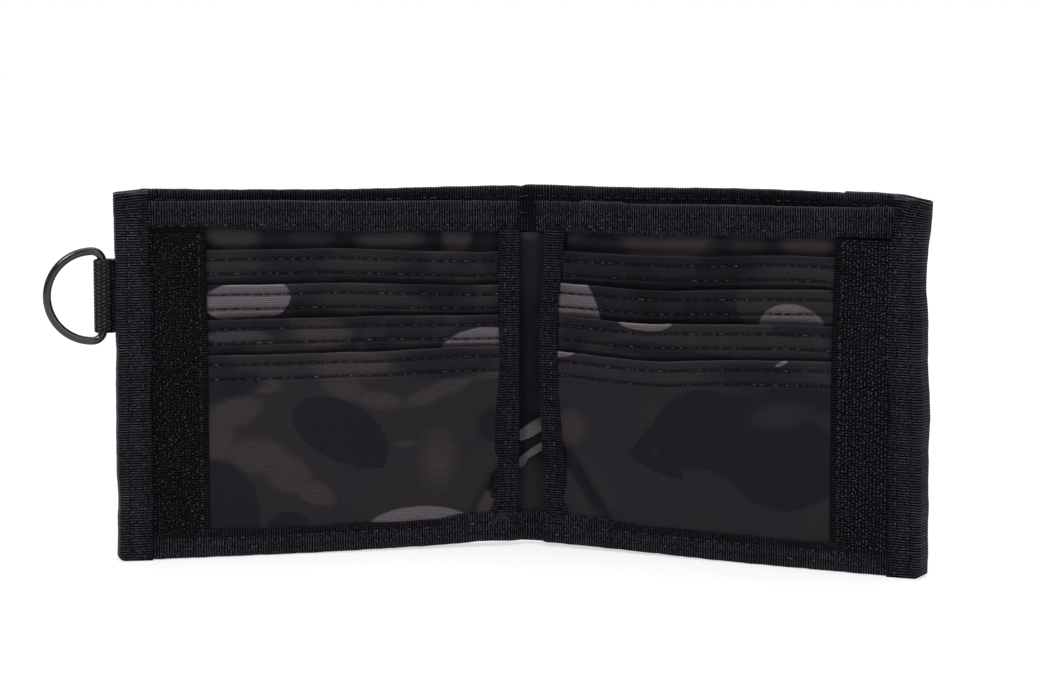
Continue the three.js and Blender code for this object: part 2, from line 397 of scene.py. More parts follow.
def grosgrain(name, groove, paintedLight):
    # ribbed polyester tape: near-black grooves that are painted shade and paler thread crests that are a
    # painted highlight, uneven from rib to rib, with a painted highlight round its folded edge
    material, tree, shader = newMaterial(name)
    mm = flatMillimetres(tree)
    quarter = addNode(tree, "Mapping", {"Vector": mm, "Location": (tapeRib / 4, 0, 0)})
    wave = threadLines(tree, quarter.outputs[0], tapeRib, 0)
    alongRib = addNode(tree, "Mapping", {"Vector": mm, "Scale": (1.0, 0.5, 1.0)})
    fine = addNode(tree, "TexNoise", {"Vector": alongRib.outputs[0], "Scale": 1.9, "Detail": 3.0,
                                      "Roughness": 0.7})
    wearAndPaintedLight = addNode(tree, "TexNoise", {"Vector": mm, "Scale": 0.09, "Detail": 3.0})
    height = addNode(tree, "MapRange", {"Value": wave, "From Min": -0.2, "From Max": 1.0},
                     interpolation_type="SMOOTHSTEP")
    speck = addNode(tree, "MapRange", {"Value": fine.outputs[0], "From Min": 0.38, "From Max": 0.66,
                                       "To Min": 0.1})
    amount = addNode(tree, "Math", {0: height.outputs[0], 1: speck.outputs[0]}, operation="MULTIPLY")
    cloud = addNode(tree, "MapRange", {"Value": wearAndPaintedLight.outputs[0], "From Min": 0.3, "From Max": 0.7,
                                       "To Min": 0.65, "To Max": 1.25})
    raised = addNode(tree, "Attribute", attribute_name="paintedLight")
    patchy = addNode(tree, "Math", {0: amount.outputs[0], 1: cloud.outputs[0]}, operation="MULTIPLY")
    strong = addNode(tree, "Math", {0: patchy.outputs[0], 1: raised.outputs["Fac"]},
                     operation="MULTIPLY", use_clamp=True)
    # the groove colour is painted shade in the rib hollows, the second colour a painted highlight on the rib
    # tops
    ribbed = addNode(tree, "Mix", {"Factor": strong.outputs[0], 6: linear(groove), 7: linear(paintedLight)},
                     data_type="RGBA")
    # painted highlight: where the attribute passes 1, round the tape's fold and top end, the colour is tinted
    # pale
    rimHighlight = addNode(tree, "MapRange", {"Value": raised.outputs["Fac"], "From Min": 1.0, "From Max": 2.2,
                                     "To Max": 0.8})
    mixed = addNode(tree, "Mix", {"Factor": rimHighlight.outputs[0], 6: ribbed.outputs[2], 7: linear("#50494b")},
                    data_type="RGBA")
    rough = addNode(tree, "MapRange", {"Value": speck.outputs[0], "To Min": 0.7, "To Max": 0.42})
    relief = addNode(tree, "Bump", {"Height": fine.outputs[0], "Strength": 0.5, "Distance": 0.00015})
    feed(tree, shader, {"Base Color": mixed.outputs[2], "Roughness": rough.outputs[0],
                        "Normal": relief.outputs[0], "Specular IOR Level": 0.03})
    return material


def threadGloss(name, deep, pale, roughness, specular, grainScale=110.0, grainRange=(0.35, 0.65, 0.15),
                onCrests=True):
    # twisted filament: black in its depth, with highlights that vary from strand to strand and, where
    # the thread stands clear of the cloth, grow towards its top
    material, tree, shader = newMaterial(name)
    where = addNode(tree, "UVMap", uv_map="flat")
    grain = addNode(tree, "TexNoise", {"Vector": where.outputs[0], "Scale": grainScale, "Detail": 2.0})
    low, high, least = grainRange
    amount = addNode(tree, "MapRange", {"Value": grain.outputs[0], "From Min": low, "From Max": high,
                                        "To Min": least})
    if onCrests:
        raised = addNode(tree, "Attribute", attribute_name="paintedLight")
        amount = addNode(tree, "Math", {0: raised.outputs["Fac"], 1: amount.outputs[0]},
                         operation="MULTIPLY", use_clamp=True)
    mixed = addNode(tree, "Mix", {"Factor": amount.outputs[0], 6: linear(deep), 7: linear(pale)},
                    data_type="RGBA")
    feed(tree, shader, {"Base Color": mixed.outputs[2], "Roughness": roughness,
                        "Specular IOR Level": specular})
    return material


def blackNickel():
    # polished black nickel plate: dark grey mirror with faint polishing haze
    material, tree, shader = newMaterial("black_nickel_plate")
    where = addNode(tree, "UVMap", uv_map="flat")
    haze = addNode(tree, "TexNoise", {"Vector": where.outputs[0], "Scale": 60.0, "Detail": 4.0})
    rough = addNode(tree, "MapRange", {"Value": haze.outputs[0], "From Min": 0.3, "From Max": 0.7,
                                       "To Min": 0.12, "To Max": 0.26})
    tint = addNode(tree, "Mix", {"Factor": haze.outputs[0], 6: linear("#3d3b3e"), 7: linear("#4b494c")},
                   data_type="RGBA")
    feed(tree, shader, {"Base Color": tint.outputs[2], "Roughness": rough.outputs[0], "Metallic": 1.0})
    return material


tapeCloth = grosgrain("ribbed_grosgrain_tape", "#040406", "#4e4c57")
centreCloth = grosgrain("ribbed_grosgrain_tape_centre", "#030305", "#454350")
sewingThread = threadGloss("sewing_thread", "#060608", "#3c3a43", 0.38, 0.13, 90.0, (0.5, 0.68, 0.0), False)
loopThread = threadGloss("loop_pile_thread", "#020202", "#474648", 0.4, 0.1)
hookThread = threadGloss("hook_filament", "#040407", "#5c5a66", 0.35, 0.12)
stripCloth = grosgrain("fastener_backing", "#030304", "#26252c")
webbingCloth = threadGloss("coarse_webbing", "#060607", "#565456", 0.45, 0.12)
ringMetal = blackNickel()
print("materials made")

# stitches
stitch = {"pitch": 3.2, "length": 2.3, "radius": 0.25, "rise": 0.28}


def stitchRow(start, stop, crossAt, surface, alongZ=False, outward=1.0, messy=0.0):
    # each stitch is a round thread arched over the cloth, rise * (1 - t^2), diving at both ends
    middles = np.arange(start + stitch["pitch"] / 2, stop, stitch["pitch"])
    middles = middles + rng.normal(0, 0.12 + messy, len(middles))
    t = np.linspace(-1, 1, 7)[None, :, None]
    angle = (np.arange(6) * math.pi / 3)[None, None, :]
    slant = rng.normal(0, 0.05 + 0.3 * messy, len(middles))[:, None, None]
    radius = stitch["radius"] * (1 - 0.35 * t ** 4)
    along = middles[:, None, None] + t * stitch["length"] / 2 + 0 * angle
    across = crossAt(along) + slant * t + radius * np.cos(angle)
    across = across + rng.normal(0, messy, len(middles))[:, None, None]
    lift = stitch["rise"] * (1 - t ** 2) - 0.14 + radius * np.sin(angle)
    s, z = (across, along) if alongZ else (along, across)
    return np.stack([s, z, surface(s, z) + outward * lift], -1)


def addThreads(name, side, tubes, material, paintedLight=None):
    # tubes (copies, stations, around, 3): each one a closed thread in flat millimetres
    s, z, w = np.moveaxis(tubes, -1, 0)
    points = place(side, s, z, w).reshape(len(tubes), -1, 3)
    return addPiece(name, points, ringQuads(*tubes.shape[1:3]), np.stack([s, z], -1) / 100,
                    material, paintedLight)


def addStitches(name, side, rows):
    return addThreads(name, side, np.concatenate(rows), sewingThread)


def rowRelief(along, across, rows):
    # the cloth sinks along each sewn row and pulls in most where the needle went through
    sunk = 0
    for row in rows:
        holes = 0.5 + 0.5 * np.cos(2 * math.pi * along / stitch["pitch"])
        sunk = sunk - bump(across, row, 0.55) * (0.07 + 0.1 * holes)
    return sunk


# flat cloth panels
fineTo = 10.5  # mm below a hem that are finely sampled


def samplesFromTop(total):
    # distances down from a hem: close together round its edge and over its sewn rows
    edge = [0.012, 0.05, 0.12, 0.22, 0.36, 0.55]
    return np.concatenate([edge, np.arange(0.8, fineTo, 0.31), np.arange(fineTo, total, 1.6), [total]])


def clothPanel(name, side, s, top, low, back, thick, relief, material, paintedShading=None):
    # a sheet between low and top, both along s: front and back faces round a half-round hem edge;
    # the optional function of (s, z, depth) gives the painted light there: painted highlight above 1, painted
    # shade below
    total = (top - low)[:, None]
    down = samplesFromTop(float(total.max()))
    depth = np.where(down[None] <= fineTo, down[None],
                     fineTo + (down[None] - fineTo) / (down[-1] - fineTo) * (total - fineTo))
    z = top[:, None] - depth
    sGrid = np.broadcast_to(s[:, None], z.shape)
    edge = np.clip(depth / (thick / 2), 0, 1)
    half = thick / 2 * np.sqrt(1 - (1 - edge) ** 2)
    middle = back(sGrid, z) + thick / 2
    lift = relief(sGrid, z, depth)
    front = middle + half + lift
    rear = middle - half + 0.6 * lift
    ringS = np.concatenate([sGrid[:, ::-1], sGrid], 1)
    ringZ = np.concatenate([z[:, ::-1], z], 1)
    ringW = np.concatenate([front[:, ::-1], rear], 1)
    uv = np.stack([side * ringS, ringZ], -1) / 100
    pale = 1 + 0 * z if paintedShading is None else paintedShading(sGrid, z, depth)
    pale = np.concatenate([pale[:, ::-1], 1 + 0 * pale], 1)
    return addPiece(name, place(side, ringS, ringZ, ringW), ringQuads(*ringS.shape), uv, material, pale)


def crease(s, z, start, end, width, height):
    # a soft ridge along the line from start to end, fading at both ends
    a, b = np.array(start, float), np.array(end, float)
    line = b - a
    length = np.hypot(*line)
    t = ((s - a[0]) * line[0] + (z - a[1]) * line[1]) / length ** 2
    off = ((s - a[0]) * line[1] - (z - a[1]) * line[0]) / length
    return height * np.exp(-(off / width) ** 2) * smooth(t, -0.15, 0.2) * (1 - smooth(t, 0.8, 1.15))


pockets = {
    "thick": 0.42, "step": 0.6, "rows": (2.8, 6.95), "fold": 8.4, "gape": 1.0,
    # height at the spine end, rise, where the rise starts and ends, sag
    "hems": {-1: [(86.4, 1.9, 15, 65, 0.0), (76.8, 1.5, 15, 60, 0.0), (68.0, 0.5, 10, 40, 0.0),
                  (58.9, -0.6, 20, 50, 0.0)],
             1: [(86.6, 1.6, 45, 85, 0.1), (77.6, 1.3, 50, 92, 1.0), (68.0, 1.0, 50, 92, 1.0),
                 (57.8, 1.2, 50, 93, 1.45)]},
}


def hemHeight(side, index, s):
    # a smooth step from the spine end to the free edge, less a sag a third of the way out
    low, rise, start, end, sag = pockets["hems"][side][index]
    wavy = 0.1 * ripple(s, 20 + index + side, 31)
    return low + rise * smooth(s, start, end) - sag * bump(s, 36, 18.5) + wavy


def pocketRelief(side, index):
    def relief(s, z, down):
        held = smooth(s, cardS - 1.5, cardS + 4) * (1 - smooth(s, stripS[side] - 6, stripS[side] + 0.5))
        lift = 0.3 * (1 - smooth(down, pockets["fold"] - 0.5, pockets["fold"] + 0.4))
        gape = pockets["gape"] * (0.6 if index == 3 else 1.0)  # the front ones must not meet when it is shut
        lift = lift + gape * (1 - smooth(down, 0.3, 7.5)) * (1 + 0.3 * ripple(s, 33 + index, 40))
        lift = lift + 0.24 * bump(down, 4.8, 1.4) + 0.12 * bump(down, 1.2, 0.9)
        lift = lift + rowRelief(s, down, pockets["rows"])
        lift = lift + 0.07 * ripple(s, 40 + 7 * index + side, 9) * bump(down, 4.5, 5)
        if index == 3:
            body = smooth(down, 9, 18) * smooth(z, 8, 16)
            lift = lift + body * (0.5 + 0.18 * ripple(s + 0.4 * z, 60 + side, 46))
            lift = lift + 0.12 * body * ripple(z - 0.3 * s, 61 + side, 33)
            folds = pocketFolds(side, s, z) * smooth(s, cardS - 1.5, cardS + 0.5) * smooth(z, 8.2, 13)
            return held * lift + folds
        return held * lift
    return relief


def hemLightAndShade(side, index):
    # painted highlight along the rolled edge and on the puckers by each row, painted shade round each needle
    # hole and in the gap over the hem in front
    def paintedShading(s, z, down):
        pale = 1 + 1.0 * np.exp(-(down / 0.4) ** 2)
        pale = pale + 0.18 * bump(down, 4.9, 1.3) * (down > 0)
        for row in pockets["rows"]:
            holes = 0.5 - 0.5 * np.cos(2 * math.pi * s / stitch["pitch"])
            pale = pale * (1 - bump(down, row, 0.6) * (0.25 + 0.55 * holes))
            pale = pale + 0.3 * bump(down, row + 0.75, 0.35)
        if index < 3:
            gap = z - hemHeight(side, index + 1, s)
            pale = pale * (1 - 0.7 * smooth(gap, -0.5, 0.1) * (1 - smooth(gap, 0.4, 1.5)))
        return pale
    return paintedShading


def pocketFolds(side, s, z):
    # slack cloth at the lower spine corner of each big pocket
    if side > 0:
        return (crease(s, z, (cardS + 2, 33), (cardS + 21, 7), 3.4, 1.0)
                - crease(s, z, (cardS + 0.5, 29.5), (cardS + 17, 6), 2.3, 2.0)
                + crease(s, z, (cardS + 3, 18), (cardS + 11, 8), 4.0, 0.9)
                + crease(s, z, (cardS + 2, 41), (cardS + 9, 31), 3.0, 0.5))
    return (crease(s, z, (cardS + 1, 27), (cardS + 13, 7), 3.0, 0.8)
            - crease(s, z, (cardS + 1, 22), (cardS + 9, 7), 1.8, 1.5)
            + crease(s, z, (cardS + 2.5, 15), (cardS + 6, 9), 2.2, 0.8))


# prints of each pocket: (ink, softness, lobes); x is negative on the left half. Three patches by the spine
# creases of the lowest pockets are painted light, marked below.
prints = {
    (-1, 0): [("mid", 0.3, [(-88, 84, 9, 4, 0), (-50, 84, 12, 3, 0)])],
    (-1, 1): [("mid", 0.3, [(-50, 74, 14, 4, 0)]),
              ("light", 0.04, [(-84, 74.2, 10.8, 5.4, 0), (-77.0, 74.4, 5.8, 5.2, 0),
                               (-89.5, 73.2, 6.5, 4.8, 0)])],
    (-1, 2): [("brown", 0.3, [(-62, 63.5, 8, 4, 0)]), ("brown", 0.2, [(-87, 63.5, 9, 1.8, 0)]),
              ("dark", 0.1, [(-46, 60.5, 3.5, 2.2, 0)]),
              ("light", 0.04, [(-13.5, 58.4, 13.6, 6.0, 0), (-15, 62.3, 6.5, 2.1, 0)])],
    (-1, 3): [("olive", 0.2, [(-28, 37.5, 19, 5.5, 4), (-18, 43, 9, 7, 0)]),
              ("brown", 0.25, [(-88, 41.5, 8, 4, 18), (-92.5, 35, 4.5, 7, 0)]),
              ("brown", 0.2, [(-81, 29, 8.5, 5, -8), (-73, 24, 8, 5.2, -35), (-65, 18, 6.5, 3.2, -25)]),
              ("brown", 0.3, [(-56.5, 48.5, 6.5, 3.6, -25), (-46, 44, 6.5, 2.4, -10),
                              (-79, 49.5, 5, 2.4, 0)]),
              ("brown", 0.3, [(-32, 44.8, 6, 2.2, 20), (-24, 48.3, 7, 2.2, 20), (-14, 51, 6, 1.8, 0)]),
              ("brown", 0.7, [(-28.5, 26, 4.5, 6.5, 0)]), ("brown", 0.4, [(-38, 31, 3, 1.0, 0)]),
              ("brown", 0.3, [(-53, 54.5, 11, 4.5, 0)]),
              ("dark", 0.2, [(-89, 50, 10, 4, 6), (-94, 52, 8, 7, 0)]),
              ("dark", 0.2, [(-26, 54.5, 15, 4.6, 0)]), ("dark", 0.2, [(-13, 36, 4, 5, 0)]),
              ("dark", 0.045, [(-57.5, 35.6, 14.6, 8.6, -27), (-50.5, 30.5, 7.5, 6.2, -24),
                               (-47.2, 27.4, 3.8, 2.8, -30)]),
              ("dark", 0.045, [(-94, 11.5, 13.5, 16.7, 0)]), ("dark", 0.08, [(-72.5, 7.5, 6.4, 5.2, 0)]),
              # painted highlight: a pale streak on the lit side of the fold at the spine corner
              ("brown", 0.2, [(-14.6, 12, 1.9, 4.8, -18)]),
              ("light", 0.035, [(-33.5, 6.6, 15.5, 6.1, 0), (-42.5, 8.2, 9, 1.6, 16)])],
    (1, 0): [("mid", 0.35, [(84, 82, 12, 5, 0)])],
    (1, 1): [("mid", 0.05, [(80, 74, 15, 9, 0)]), ("light", 0.012, [(4, 62, 19, 24, 0)]),
             ("light", 0.03, [(81.6, 67.2, 10.0, 7.5, 0)])],
    (1, 2): [("mid", 0.06, [(60, 64, 34, 5, 0), (84, 60.5, 9, 4, 0)]),
             ("dark", 0.08, [(82, 67.4, 5.5, 2.2, 0)]), ("dark", 0.15, [(40, 59.5, 16, 2.2, -4)]),
             ("light", 0.04, [(37.3, 68.0, 8.6, 3.1, 0)])],
    (1, 3): [("dark", 0.3, [(72, 54, 14, 4, 4), (84, 48, 13, 5, 0)]),
             ("dark", 0.035, [(54, 37.2, 15, 11.4, 20), (38.4, 32.7, 6.8, 3.0, 50),
                              (41.1, 26.8, 9.4, 2.2, -21), (66, 36.2, 14, 12.4, 0),
                              (80, 30, 17.4, 14.2, 0)]),
             ("mid", 0.45, [(79, 43, 8.5, 3.2, 10), (91, 15.5, 5, 2.6, 10)]),
             # the mid patch at (15, 13.5) is a painted highlight on the lit side of the crease; the brown one
             # is print
             ("mid", 0.2, [(15, 13.5, 5, 5.5, 0)]), ("brown", 0.4, [(13.5, 35.5, 4.5, 4.5, 0)]),
             # painted shade: a dark band along the crease from (10, 32) to (26, 9)
             ("dark", 0.4, [(18.7, 18.3, 14, 2.1, -54.6)]),
             ("light", 0.06, [(8.5, 58.2, 6.8, 2.4, 0)]), ("light", 0.1, [(79.4, 57.8, 2.0, 0.6, 22)])],
}
grounds = {
    (-1, 0): ("dark", "dark", "mid"), (-1, 1): ("black", "dark", "mid"), (-1, 2): ("dark", "dark", "mid"),
    (-1, 3): ("mid", "mid", "plum"), (1, 0): ("black", "dark", "dark"), (1, 1): ("black", "black", "dark"),
    (1, 2): ("dark", "dark", "mid"), (1, 3): ("plum", "plum", "mid"),
}


def makePocket(side, index):
    label = sides[side] + "_card_pocket_" + str(index + 1)
    s = np.linspace(centreS + 0.8, clothS, 240)
    relief = pocketRelief(side, index)
    backAt = pocketW + index * pockets["step"]
    cloth = camoNylon("printed_oxford_nylon_" + label, 3.1 * index + (2 if side > 0 else 0.4),
                      grounds[(side, index)], prints[(side, index)])
    top, foot = hemHeight(side, index, s), footLine(side, s) + wallet["clothLow"]
    panel = clothPanel(label + "_cloth", side, s, top, foot, lambda a, z: backAt + 0 * a,
                       pockets["thick"], relief, cloth, hemLightAndShade(side, index))
    surface = lambda a, z: backAt + pockets["thick"] + relief(a, z, hemHeight(side, index, a) - z)
    rows = [stitchRow(cardS - 1.5, stripS[side], lambda a: hemHeight(side, index, a) - down, surface)
            for down in pockets["rows"]]
    thread = addStitches(label + "_stitches", side, rows)
    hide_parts(label)
    rideHalf(panel, side)
    rideHalf(thread, side)
    return panel, thread, (float(s[-1] - s[0]) / 1000, float(np.mean(top - foot)) / 1000)


# folded tapes
tape = {"thick": 0.5, "rib": 0.08, "perRib": 4, "nose": 1.3, "samples": 11}


def tapeProfile(width):
    # front leg, half-oval nose and back leg: distance in from the fold, turn 0 to 1 round the nose
    leg = np.linspace(width, tape["nose"] + 0.3, tape["samples"])
    turn = np.linspace(0, 1, tape["samples"])
    inward = np.concatenate([leg, np.zeros(len(turn)), leg[::-1]])
    around = np.concatenate([0 * leg, turn, 0 * leg + 1])
    onNose = np.concatenate([0 * leg, 1 + 0 * turn, 0 * leg])
    return inward, around, onNose


plainTape = {"lap": lambda a: 0 * a, "grow": lambda a: 0 * a, "rimHighlight": 0.1, "tack": (), "cloth": tapeCloth,
             "sewnBack": True}


def foldedTape(along, spec, seed, alongZ):
    # the profile carried along the tape; its outer skin has one rib per 0.75 mm and sinks at the sewn
    # rows. The turn of the fold is a half oval whose sine and cosine are raised to the power corner, and
    # spec sets how strong a highlight is painted round it; lap lifts the outer skin and grow moves the free
    # edges out.
    width, rows, corner = spec["width"], spec["rows"], spec["corner"]
    inward, around, onNose = tapeProfile(width)
    wF, wB = spec["front"](along)[:, None], spec["back"](along)[:, None]
    middle, half = (wF + wB) / 2, (wF - wB) / 2
    nose = np.minimum(tape["nose"], half)
    phi = math.pi * around[None]
    free = np.ones(len(along)) if alongZ else smooth(along, 0, 5)  # both halves meet evenly at the spine
    loose = (0.3 * ripple(along, seed, 37) * free + spec["grow"](along))[:, None]
    depth = inward[None] + loose * smooth(inward[None], width * 0.45, width)
    pull = sum(bump(depth, row, 0.9) for row in rows) * (onNose[None] == 0)
    ribAt = along[:, None] + 0.1 * np.sin(2 * math.pi * along / stitch["pitch"])[:, None] * pull
    ribAt = ribAt + 0.09 * ripple(3.1 * depth + 0.7 * along[:, None], seed + 5, 9)
    wave = 0.5 + 0.5 * np.cos(2 * math.pi * ribAt / tapeRib)
    relief = tape["rib"] * (2 * wave - 1) + 0.8 * rowRelief(along[:, None], depth, rows) * (onNose[None] == 0)
    relief = relief + (0.07 * ripple(along, seed + 3, 11) * free)[:, None] + spec["lap"](along)[:, None]
    ends = np.exp(-((inward[None] - width) / 0.5) ** 2) * (onNose[None] == 0)
    skins = []
    turned = np.sign(np.cos(phi)) * np.abs(np.cos(phi)) ** corner
    for inset, lift in ((0.0, relief - 0.16 * ends), (tape["thick"], 0 * relief + 0.1 * ends)):
        noseP = nose - (nose - inset + lift) * np.sin(phi) ** corner
        p = np.where(onNose[None] == 1, noseP, depth)
        w = middle + (half - inset + lift) * turned
        skins.append((p, w))
    # painted light on the tape: a painted highlight round the nose, painted shade along the sewn rows and
    # wherever spec's shade asks
    wearAndPaintedLight = 0.85 + spec["rimHighlight"] * np.sin(phi) ** 4 * (onNose[None] == 1) + 0 * depth
    wearAndPaintedLight = wearAndPaintedLight * (1 - 0.42 * sum(bump(depth, row, 0.5) for row in rows) * (onNose[None] == 0))
    wearAndPaintedLight = wearAndPaintedLight * spec["shade"](along[:, None], depth, 0.5 + 0.5 * turned)
    p = np.concatenate([skins[0][0], skins[1][0][:, ::-1]], 1)
    w = np.concatenate([skins[0][1], skins[1][1][:, ::-1]], 1)
    long = np.broadcast_to(along[:, None], p.shape)
    across = spec["fold"](long) + spec["sign"] * p
    s, z = (across, long) if alongZ else (long, across)
    girth = inward * np.sign(0.5 - around)
    girth = np.concatenate([girth, girth[::-1]])
    ribLong = np.concatenate([ribAt, ribAt[:, ::-1]], 1)
    uv = np.stack([ribLong, np.broadcast_to(girth[None], long.shape)], -1) / 100
    return s, z, w, uv, np.concatenate([wearAndPaintedLight, wearAndPaintedLight[:, ::-1]], 1)


def flatSize(surfaces):
    # the tape unfolded: half the way round its closed profile half way along, by its length, in metres
    s, z, w = surfaces[:3]
    half = len(s) // 2
    across = [np.append(v[half], v[half, 0]) for v in (s, z, w)]
    length = np.hypot(s[-1] - s[0], z[-1] - z[0]).mean()
    return (float(np.sqrt(sum(np.diff(v) ** 2 for v in across)).sum()) / 2000, float(length) / 1000)


def tapeStations(start, stop):
    count = int(round((stop - start) / tapeRib * tape["perRib"]))
    return np.linspace(start, stop, count)


def tuck(s):
    # the long tapes dip where they run under the edge tape
    return smooth(s, tuckS - 1.0, tuckS + 0.3)


def sewTape(side, key, spec, reach, sewn, seed, alongZ=False, shape=None):
    # a folded tape with its stitches: at each sewn distance a row on the front, and one on the back
    spec = {**plainTape, **spec}
    surfaces = foldedTape(tapeStations(*reach), spec, seed, alongZ)
    if shape is not None:
        surfaces = shape(*surfaces)
    s, z, w, uv, wearAndPaintedLight = surfaces
    name = sides[side] + "_" + key + "_tape"
    piece = addPiece(name + "_cloth", place(side, s, z, w), ringQuads(*s.shape), uv, spec["cloth"],
                     wearAndPaintedLight)
    at = lambda a, b: b if alongZ else a
    front = lambda a, b: spec["front"](at(a, b)) + spec["lap"](at(a, b))
    back = lambda a, b: spec["back"](at(a, b)) - spec["lap"](at(a, b))
    rows = []
    for row in spec["rows"]:
        cross = lambda a: spec["fold"](a) + spec["sign"] * row
        rows.append(stitchRow(*sewn, cross, front, alongZ))
        if spec["sewnBack"]:
            rows.append(stitchRow(*sewn, cross, back, alongZ, outward=-1.0))
    for row in spec["tack"]:  # the end of a lap, sewn over several times
        rows.append(stitchRow(20, 29, lambda a: spec["fold"](a) + spec["sign"] * row,
                              lambda a, b: spec["front"](a) + 0.42, messy=0.35))
    return piece, addStitches(name + "_stitches", side, rows), flatSize(surfaces)


def makeLongTapes(side):
    # shade(s, depth, facing) scales the thread's colour: painted shade in the pleat over the spine and on the
    # shell tape's front leg, and darker beyond the second row on the bottom tape's outer part; facing is 1 on
    # the card side and 0 at the back
    right = side > 0
    specs = {
        "divider_top": dict(width=8.9, fold=lambda s: dividerTop(side, s), sign=-1, rows=(3.3, 6.9),
                            front=lambda s: (0.05 + 0.5 * smooth(s, 7, 12) - 0.4 * tuck(s)
                                             - 1.35 * valley(side, s)),
                            back=lambda s: -2.0 + 0.2 * tuck(s) - 0.35 * valley(side, s),
                            lap=lambda s: seam(side, s) + (0.42 * smooth(s, 15.4, 15.6)
                                                           * (1 - smooth(s, 27.5, 29)) if right else 0),
                            grow=lambda s: (-0.3 if right else -1.3) * smooth(s, 50, 105),
                            corner=0.8, rimHighlight=0.4, tack=(3.0, 4.4, 5.8, 7.2) if right else (),
                            # painted shade in the pleat over the spine
                            shade=lambda s, d, f: 1 - (0.8 - 0.25 * smooth(d, 3, 8)) * valley(side, s)),
        "shell_top": dict(width=9.0, fold=lambda s: shellTop(side, s), sign=-1, rows=(3.2, 7.2),
                          front=lambda s: -2.3 - bow(s, 105.0) - 0.3 * tuck(s) - 0.35 * valley(side, s),
                          back=lambda s: -4.5 - bow(s, 105.0) + 0.5 * tuck(s) - 0.3 * valley(side, s),
                          lap=lambda s: seam(side, s) + (0.45 * smooth(s, 94.8, 95.0) if right else 0),
                          corner=0.8, rimHighlight=1.2,
                          # painted shade on the front leg, which faces into the note pocket, and in the pleat
                          shade=lambda s, d, f: (1 - 0.45 * smooth(f, 0.9, 1.0) * smooth(d, 0.3, 1.0))
                          * (1 - 0.5 * valley(side, s) * smooth(f, 0.9, 1.0))),
        "bottom": dict(width=8.0, fold=lambda s: footLine(side, s), sign=1, rows=(2.8, 5.6),
                       front=lambda s: 0.5 + (frontW - 0.5) * smooth(s, 0.6, 6.2) - 0.55 * tuck(s),
                       back=lambda s: backW + 0.45 * tuck(s), corner=0.45,
                       lap=lambda s: seam(side, s) - 0.1 * bump(s, 3.2, 1.2),
                       grow=lambda s: (1.0 if right else 0.8) * (1 - smooth(s, 22, 29)),
                       shade=lambda s, d, f: 1 - 0.6 * smooth(d, 5.7, 6.3) * smooth(s, 24, 30)),
    }
    made = []
    for key, spec in specs.items():
        piece, thread, size = sewTape(side, key, spec, (-overlap, tuckS + 1.6), (0.8, tuckS - 0.5),
                                      len(key) + side)
        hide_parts(sides[side] + "_" + key + "_tape", "spine_" + key + "_tape")
        foldWith(piece)
        foldWith(thread)
        made.append((piece, thread, size))
    return made


def makeUprightTapes(side):
    if side > 0:  # both tapes wander: the edge is drawn in near the top, the centre one lies nearer the spine
        edgeFold = lambda z: (edgeS + 0.2 * ripple(z, 10, 38) - 0.7 * smooth(z, 45, 62) - 1.0 * bump(z, 84, 8)
                              + 0.8 * smooth(z, 92, 104))
        centreFold = lambda z: centreS - 2.1 * bump(z, 57, 30) + 0.1 * ripple(z, 13, 40)
        slope, cut, rise = 1.4, 1.0, 0.7
    else:
        edgeFold = lambda z: edgeS + 0.25 * ripple(z, 8, 38) - 0.35 * bump(z, 76, 14)
        centreFold = lambda z: centreS - 0.9 * smooth(z, 5, 35) + 0.1 * ripple(z, 11, 40)
        slope, cut, rise = 0.7, 0.5, 0.5

    def wornCorners(s, z, w, uv, wearAndPaintedLight):
        # the edge tape's corners are worn round, and the right one slopes down outwards
        z = z + rise * smooth(z, 96, 105)
        z = z - smooth(z, 95, 105) * (slope * smooth(s, 111, 121) + cut * smooth(s, 119.5, 122.2))
        z = z + (1 - smooth(z, 0, 4)) * (0.15 * smooth(s, 112, 121) + 1.1 * smooth(s, 119.8, 122))
        # the tape's top end is painted pale: a painted highlight
        return s, z, w, uv, wearAndPaintedLight + 0.9 * smooth(z, 104.3, 104.9)

    specs = {
        "edge": dict(width=9.6, sign=-1, fold=edgeFold, rows=(3.4, 7.2), corner=0.55,
                     front=lambda z: stackFront(z) + 0.25 - 0.9 * smooth(z, 92, 98),
                     back=lambda z: -4.75 + 0 * z,
                     shade=lambda z, d, f: 1 - 0.35 * smooth(d, 7.4, 8.0)),
        "centre": dict(width=6.5, sign=1, fold=centreFold, rows=(2.3, 4.9), corner=0.6,
                       front=lambda z: stackFront(z) + 0.05, back=lambda z: -0.5 + 0 * z,
                       cloth=centreCloth, sewnBack=False, grow=lambda z: 2.0 * (1 - smooth(z, 8, 62)),
                       shade=lambda z, d, f: 1 - 0.3 * smooth(d, 5.2, 6.0)),
    }
    reaches = {"edge": (0.05, wallet["height"] + 0.2), "centre": (7.0, 92.6)}
    made = []
    for key, spec in specs.items():
        low, high = reaches[key]
        piece, thread, size = sewTape(side, key, spec, (low, high), (low, high - 2), 30 + len(key) + side,
                                      alongZ=True, shape=wornCorners if key == "edge" else None)
        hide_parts(sides[side] + "_" + key + "_tape")
        rideHalf(piece, side)
        rideHalf(thread, side)
        made.append((piece, thread, size))
    return made


